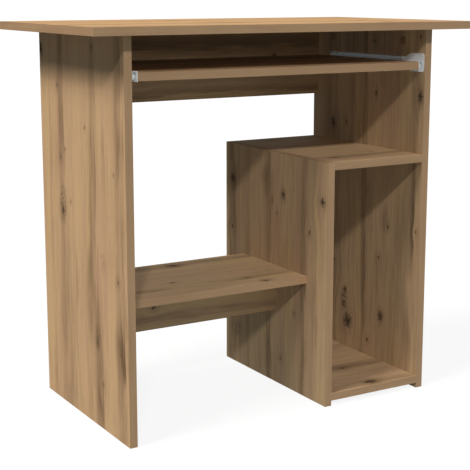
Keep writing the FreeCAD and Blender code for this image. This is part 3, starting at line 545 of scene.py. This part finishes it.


# ---- the desk's boards ------------------------------------------------------------------

# Each board's print. "axes" are the grain's axis, the one across it and the thickness.
# "tone" darkens the whole board, or lightens it where it is below 0. "ground" is the ground's
# colour where it isn't OAK_GROUND; the boards that sit in shade take a greener ground, a
# painted shade colour that offsets the red of the light bounced between them.
# Streaks and burls are soft blots: along, across, half length and half width in metres, and
# strength. Knots, plain and cracked, are along, across and radius in metres.
BOARDS = {
    "desktop": {
        "axes": "xyz",
        "tone": -0.20,
        "ground": OAK_TOP_GROUND,
        "streaks": ((0.00, -0.085, 2.0, 0.020, 0.62), (0.10, 0.075, 0.5, 0.024, 0.34),
                    (0.00, -0.205, 0.6, 0.012, 0.30), (-0.25, 0.190, 0.2, 0.016, 0.25),
                    (0.34, 0.170, 0.09, 0.030, 0.40), (0.24, -0.070, 0.07, 0.012, 0.45),
                    (-0.08, -0.095, 0.07, 0.012, 0.35)),
        "knots": ((0.005, 0.068, 0.004), (-0.160, 0.080, 0.004), (0.150, -0.100, 0.004),
                  (0.250, -0.074, 0.004), (-0.300, -0.115, 0.003), (-0.240, -0.200, 0.003)),
        "cracked": ((-0.098, 0.085, 0.006), (0.224, -0.182, 0.006)),
        "burls": ((0.224, -0.182, 0.022, 0.012, 0.7), (-0.098, 0.085, 0.018, 0.008, 0.6)),
    },
    "left_side_panel": {
        "axes": "zyx",
        "tone": -0.17,
        "streaks": ((0.56, 0.090, 0.22, 0.016, 0.68), (0.10, 0.085, 0.24, 0.034, 0.44),
                    (0.44, -0.048, 0.14, 0.015, 0.66), (0.25, -0.042, 0.09, 0.024, 0.60),
                    (0.08, -0.070, 0.14, 0.017, 0.60), (0.62, -0.055, 0.12, 0.014, 0.34),
                    (0.40, -0.165, 0.60, 0.019, 0.62), (0.17, -0.160, 0.05, 0.022, 0.50),
                    (0.13, -0.176, 0.03, 0.008, 0.50), (0.50, -0.100, 0.07, 0.006, 0.35),
                    (0.24, 0.028, 0.07, 0.008, 0.34), (0.30, 0.148, 0.60, 0.010, 0.22),
                    (0.02, -0.02, 0.12, 0.020, 0.22), (0.15, -0.060, 0.26, 0.045, 0.22)),
        "knots": ((0.622, 0.104, 0.0036), (0.505, 0.073, 0.0034), (0.487, 0.095, 0.0036),
                  (0.407, 0.052, 0.0024), (0.483, -0.141, 0.0018), (0.294, -0.152, 0.0036),
                  (0.162, -0.057, 0.0030), (0.087, -0.081, 0.0024), (0.700, -0.058, 0.0030),
                  (0.554, -0.020, 0.0028)),
        "cracked": ((0.386, 0.090, 0.0040), (0.690, 0.183, 0.0070)),
        "burls": ((0.398, 0.087, 0.040, 0.017, 0.8), (0.318, -0.090, 0.020, 0.010, 0.3),
                  (0.170, -0.062, 0.024, 0.012, 0.5), (0.172, -0.160, 0.022, 0.014, 0.4)),
    },
    "right_side_panel": {
        "axes": "zyx",
        "tone": 0.06,
        "ground": OAK_SHADED_GROUND,
        "streaks": ((0.30, -0.002, 0.70, 0.008, 0.62), (0.36, -0.164, 0.13, 0.007, 0.70),
                    (0.62, -0.168, 0.16, 0.010, 0.50), (0.22, -0.052, 0.06, 0.006, 0.40),
                    (0.33, -0.076, 0.03, 0.010, 0.62), (0.60, 0.118, 0.50, 0.030, 0.40),
                    (0.12, 0.092, 0.16, 0.016, 0.34), (0.50, 0.045, 0.20, 0.010, 0.24),
                    (0.10, -0.150, 0.12, 0.010, 0.34), (0.15, -0.150, 0.30, 0.050, 0.20)),
        "knots": ((0.059, -0.023, 0.0040), (0.247, -0.056, 0.0034), (0.316, -0.085, 0.0036),
                  (0.321, -0.176, 0.0030), (0.697, -0.028, 0.0040), (0.590, -0.037, 0.0038),
                  (0.710, -0.175, 0.0038), (0.522, 0.065, 0.0034), (0.212, 0.104, 0.0030)),
        "cracked": ((0.084, 0.050, 0.0105), (0.122, -0.067, 0.0058), (0.594, -0.178, 0.0060),
                    (0.517, 0.115, 0.0050), (0.152, 0.060, 0.0040)),
        "burls": ((0.128, 0.064, 0.026, 0.013, 1.0), (0.122, -0.067, 0.016, 0.010, 0.5)),
    },
    "pedestal_side_panel": {
        "axes": "zyx",
        "tone": -0.06,
        "ground": OAK_SHADED_GROUND,
        "streaks": ((0.30, 0.165, 0.60, 0.014, 0.66), (0.30, 0.017, 0.40, 0.010, 0.44),
                    (0.06, 0.017, 0.08, 0.012, 0.40), (0.24, -0.110, 0.80, 0.010, 0.56),
                    (0.24, -0.146, 0.80, 0.006, 0.28), (0.30, 0.100, 0.50, 0.008, 0.26),
                    (0.42, 0.030, 0.04, 0.012, 0.34)),
        "knots": ((0.336, -0.130, 0.0040), (0.380, 0.006, 0.0032), (0.300, 0.165, 0.0046),
                  (0.161, -0.079, 0.0028), (0.055, -0.029, 0.0034), (0.355, -0.013, 0.0024)),
        "cracked": ((0.402, -0.173, 0.0056), (0.397, -0.036, 0.0040), (0.405, 0.162, 0.0050)),
        "burls": ((0.397, -0.034, 0.016, 0.012, 0.4), (0.432, 0.036, 0.018, 0.014, 0.4),
                  (0.080, 0.140, 0.024, 0.014, 0.6)),
    },
    "pedestal_top_shelf": {
        "axes": "xyz",
        "tone": -0.24,
        "ground": OAK_SHADED_GROUND,
        "streaks": ((0.20, 0.030, 0.4, 0.022, 0.55), (0.20, -0.125, 0.4, 0.016, 0.55),
                    (0.20, 0.150, 0.4, 0.014, 0.40)),
        "knots": ((0.255, -0.103, 0.0040), (0.180, 0.155, 0.0035)),
        "cracked": ((0.143, -0.132, 0.0050),),
        "burls": (),
    },
    "pedestal_bottom_shelf": {
        "axes": "xyz",
        "tone": -0.02,
        "ground": OAK_SHADED_GROUND,
        "streaks": ((0.20, -0.065, 0.3, 0.018, 0.55), (0.20, 0.060, 0.4, 0.014, 0.45),
                    (0.20, -0.172, 0.3, 0.012, 0.45), (0.20, 0.140, 0.4, 0.012, 0.30)),
        "knots": ((0.214, -0.074, 0.0045), (0.16, 0.09, 0.0035)),
        "cracked": ((0.212, -0.172, 0.0055),),
        "burls": ((0.215, -0.170, 0.020, 0.010, 0.6),),
    },
    "foot_shelf": {
        "axes": "xyz",
        "tone": -0.24,
        "ground": OAK_SHADED_GROUND,
        "streaks": ((-0.10, 0.092, 0.3, 0.014, 0.62), (-0.10, -0.068, 0.6, 0.014, 0.40),
                    (0.04, -0.050, 0.05, 0.014, 0.42), (-0.24, -0.066, 0.05, 0.012, 0.40),
                    (0.02, 0.012, 0.2, 0.010, 0.26)),
        "knots": ((-0.162, -0.035, 0.0040), (-0.018, -0.072, 0.0034), (-0.262, 0.0, 0.0036)),
        "cracked": ((-0.095, 0.090, 0.0060), (0.000, -0.112, 0.0050)),
        "burls": ((0.006, -0.106, 0.018, 0.010, 0.6),),
    },
    "foot_shelf_stretcher": {
        "axes": "xzy",
        "tone": -0.20,
        "streaks": ((-0.1, 0.215, 0.5, 0.007, 0.35), (-0.1, 0.172, 0.5, 0.009, 0.45)),
        "knots": ((-0.19, 0.196, 0.0035),),
        "cracked": (),
        "burls": (),
    },
    "back_rail": {
        "axes": "xzy",
        "tone": 0.12,
        "ground": OAK_SHADED_GROUND,
        "streaks": ((0.0, 0.690, 0.5, 0.010, 0.45), (0.0, 0.640, 0.5, 0.014, 0.50),
                    (0.1, 0.592, 0.5, 0.008, 0.40)),
        "knots": ((-0.12, 0.618, 0.0036), (0.20, 0.662, 0.0040)),
        "cracked": ((-0.23, 0.648, 0.0050),),
        "burls": (),
    },
    "keyboard_tray": {
        "axes": "xyz",
        "tone": 0.30,
        "streaks": ((0.0, 0.06, 0.5, 0.020, 0.50), (0.0, -0.110, 0.5, 0.014, 0.45),
                    (-0.1, -0.02, 0.3, 0.010, 0.35)),
        "knots": ((-0.14, -0.05, 0.0040), (0.19, 0.06, 0.0045), (0.06, -0.150, 0.0030)),
        "cracked": ((0.04, 0.09, 0.0055),),
        "burls": (),
    },
}

# Edge strips: their long axis, and the axis of the strips round the corner.
EDGINGS = {
    "desktop": ("x", "y"), "keyboard_tray": ("x", "y"), "left_side_panel": ("z", "y"),
    "right_side_panel": ("z", "y"), "pedestal_side_panel": ("z", "y"),
    "pedestal_top_shelf": ("x", "y"), "pedestal_bottom_shelf": ("x", "y"),
    "foot_shelf": ("x", "y"), "foot_shelf_stretcher": ("x", "y"), "back_rail": ("x", "y"),
}


# ---- the desk's materials ---------------------------------------------------------------

def dress(node, material):
    """Give a CAD node its material."""
    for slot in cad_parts[node].material_slots:
        slot.material = material


def soften(node, width, segments=2):
    """Round a CAD node's sharp edges a little."""
    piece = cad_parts[node]
    weld = piece.modifiers.new("weld", "WELD")
    weld.merge_threshold = SAME_POINT
    bevel = piece.modifiers.new("rounded_edges", "BEVEL")
    bevel.width = width
    bevel.segments = segments
    bevel.limit_method = "ANGLE"
    bevel.angle_limit = math.radians(SHARP_ANGLE)
    bevel.harden_normals = True
    bevel.use_clamp_overlap = True


def dress_boards():
    groups = {"knot": knot_group(), "blot": blot_group()}
    for number, (node, board) in enumerate(BOARDS.items()):
        dress(node, oak_print(f"oak_{node}", board, groups, BOARD_SEED_STEP * number))
        soften(node, BOARD_ROUNDING)
    for number, (board, (first, second)) in enumerate(EDGINGS.items()):
        node = board + "_edging"
        dress(node, oak_edging(f"oak_{node}", first, second, STRIP_SEED_STEP * number))
        soften(node, STRIP_ROUNDING)


def dress_fittings():
    finishes = {name: grained(name, **finish) for name, finish in FINISHES.items()}
    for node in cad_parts:
        for ending, (finish, rounding) in FITTINGS.items():
            if node.endswith(ending):
                dress(node, finishes[finish])
                if rounding:
                    soften(node, rounding)


# ---- stage, light and camera ------------------------------------------------------------

def add_floor():
    """A pale floor that shows soft shadows and throws no light back on the desk."""
    lowest = cad_box[0][2]
    bpy.ops.mesh.primitive_plane_add(size=FLOOR_SIZE, location=(0.0, 0.0, lowest - FLOOR_DROP))
    floor = bpy.context.object
    floor.name = "floor"
    material, shader, principled = new_material("pale_floor")
    principled.inputs["Base Color"].default_value = (*FLOOR_GREY, 1.0)
    principled.inputs["Roughness"].default_value = 0.9
    principled.inputs["Specular IOR Level"].default_value = 0.0
    principled.inputs["Emission Color"].default_value = (*WHITE, 1.0)
    principled.inputs["Emission Strength"].default_value = FLOOR_GLOW
    floor.data.materials.append(material)
    floor.visible_diffuse = False
    floor.visible_glossy = False


def add_world():
    """Weak light from all round, more from the low front, and white to the camera."""
    world = bpy.data.worlds.new("studio")
    bpy.context.scene.world = world
    world.use_nodes = True
    tree = world.node_tree
    shader = Shader(tree)
    towards = shader.node("ShaderNodeSeparateXYZ")
    shader.feed(towards.inputs[0], shader.node("ShaderNodeTexCoord").outputs["Generated"])
    front = shader.math("MULTIPLY", towards.outputs["Y"], FRONT_Y)
    lobe = shader.math("MULTIPLY_ADD", towards.outputs["Z"], FRONT_Z, front, clamp=True)
    lobe = shader.math("MULTIPLY", lobe, lobe)
    fill = tree.nodes["Background"]
    fill.inputs["Color"].default_value = (*ROOM_COLOUR, 1.0)
    shader.feed(fill.inputs["Strength"], shader.add_shares(ROOM_LEVEL, (lobe, FRONT_LEVEL)))
    white = shader.node("ShaderNodeBackground")
    white.inputs["Color"].default_value = (*WHITE, 1.0)
    seen = shader.node("ShaderNodeMixShader")
    rays = shader.node("ShaderNodeLightPath")
    for socket, value in zip(seen.inputs, (rays.outputs["Is Camera Ray"], fill.outputs[0],
                                           white.outputs[0])):
        shader.feed(socket, value)
    shader.feed(tree.nodes["World Output"].inputs["Surface"], seen.outputs[0])


def add_sun(name, comes_from, level, colour=WHITE, softness=0.0, glossy=True, shadow=True):
    """A distant soft light. level 1 lights a facing white surface to full white."""
    data = bpy.data.lights.new(name, "SUN")
    data.energy = level * math.pi
    data.color = colour
    data.angle = math.radians(softness)
    data.use_shadow = shadow
    lamp = bpy.data.objects.new(name, data)
    lamp.visible_glossy = glossy
    lamp.rotation_mode = "QUATERNION"
    lamp.rotation_quaternion = Vector(comes_from).to_track_quat("Z", "Y")
    bpy.context.scene.collection.objects.link(lamp)


def add_lights():
    """A broad key from the upper left, two narrow ones from the front, and weak fills."""
    add_sun("left_key", (-0.60, -0.05, 0.77), level=0.98, colour=(1.0, 0.985, 0.96),
            softness=24.0)
    for side, across in (("left", -0.25), ("right", -0.06)):
        add_sun("front_key_" + side, (across, -0.42, 0.33), level=0.235, softness=4.0)
    add_sun("left_fill", (-0.90, -0.25, 0.35), level=0.045, colour=(0.85, 1.0, 1.12),
            glossy=False, shadow=False)
    add_sun("right_fill", (1.0, -0.10, 0.08), level=0.28, softness=30.0, glossy=False)
    add_sun("rear_fill", (0.5, 1.0, 0.6), level=0.10, softness=60.0, glossy=False)


def add_camera():
    data = bpy.data.cameras.new("camera")
    data.lens = LENS
    data.sensor_width = SENSOR
    data.shift_y = PICTURE_SHIFT
    camera = bpy.data.objects.new("camera", data)
    camera.location = CAMERA_PLACE
    camera.rotation_euler = Euler((math.radians(90.0 - CAMERA_DOWN), 0.0,
                                   math.radians(-CAMERA_RIGHT)))
    bpy.context.scene.collection.objects.link(camera)
    bpy.context.scene.camera = camera


dress_boards()
dress_fittings()
add_floor()
add_world()
add_lights()
add_camera()
bpy.context.scene.view_settings.view_transform = "Standard"
